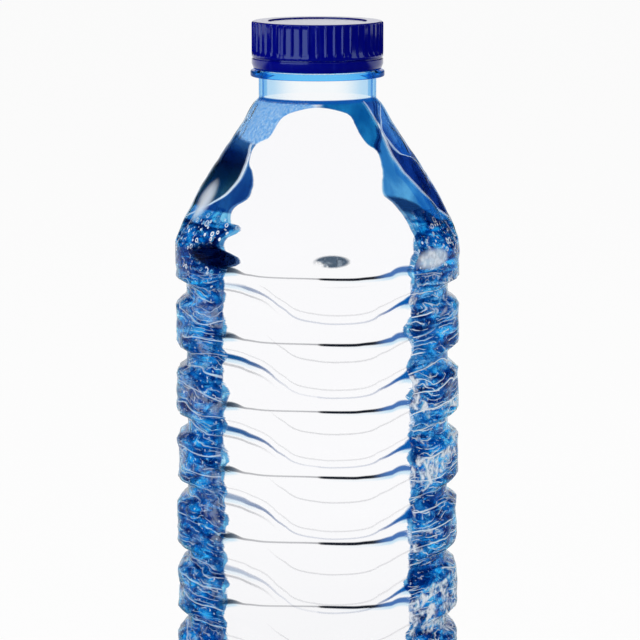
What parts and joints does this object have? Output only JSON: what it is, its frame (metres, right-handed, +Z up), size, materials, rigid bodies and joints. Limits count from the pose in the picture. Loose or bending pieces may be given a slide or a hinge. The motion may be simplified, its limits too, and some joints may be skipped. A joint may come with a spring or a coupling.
{
  "type": "crushed plastic bottle",
  "caption": "Empty drinks bottle of thin clear blue plastic with swept ribs, lightly crushed, its knurled screw cap still on.",
  "frame": {"origin": "centre of the ring that the bottle stands on, at floor level", "axes": "+Z up the bottle's axis towards the cap, -Y towards the front that the picture shows, +X to that front's right"},
  "size_m": [0.0662, 0.0662, 0.1934],
  "materials": {
    "bottle_plastic": "clear blue, glossy, creased",
    "cap_plastic": "deep blue, satin",
    "band_plastic": "deep blue, satin"
  },
  "bodies": {
    "bottle": {"bottle_shell": "bottle_plastic"},
    "band": {"tamper_band": "band_plastic"},
    "cap": {"screw_cap": "cap_plastic"}
  },
  "joints": [
    {"name": "closure_turn", "type": "hinge", "parent": "bottle", "child": "band", "pos_m": [0, 0, 0.183], "axis": [0, 0, 1], "range_deg": [0, 630]},
    {"name": "cap_rise", "type": "slide", "parent": "band", "child": "cap", "axis": [0, 0, 1], "range_m": [0, 0.00473]}
  ],
  "couplings": [
    {"joint": "cap_rise", "follows": "closure_turn", "m_per_rad": 0.00042972}
  ]
}
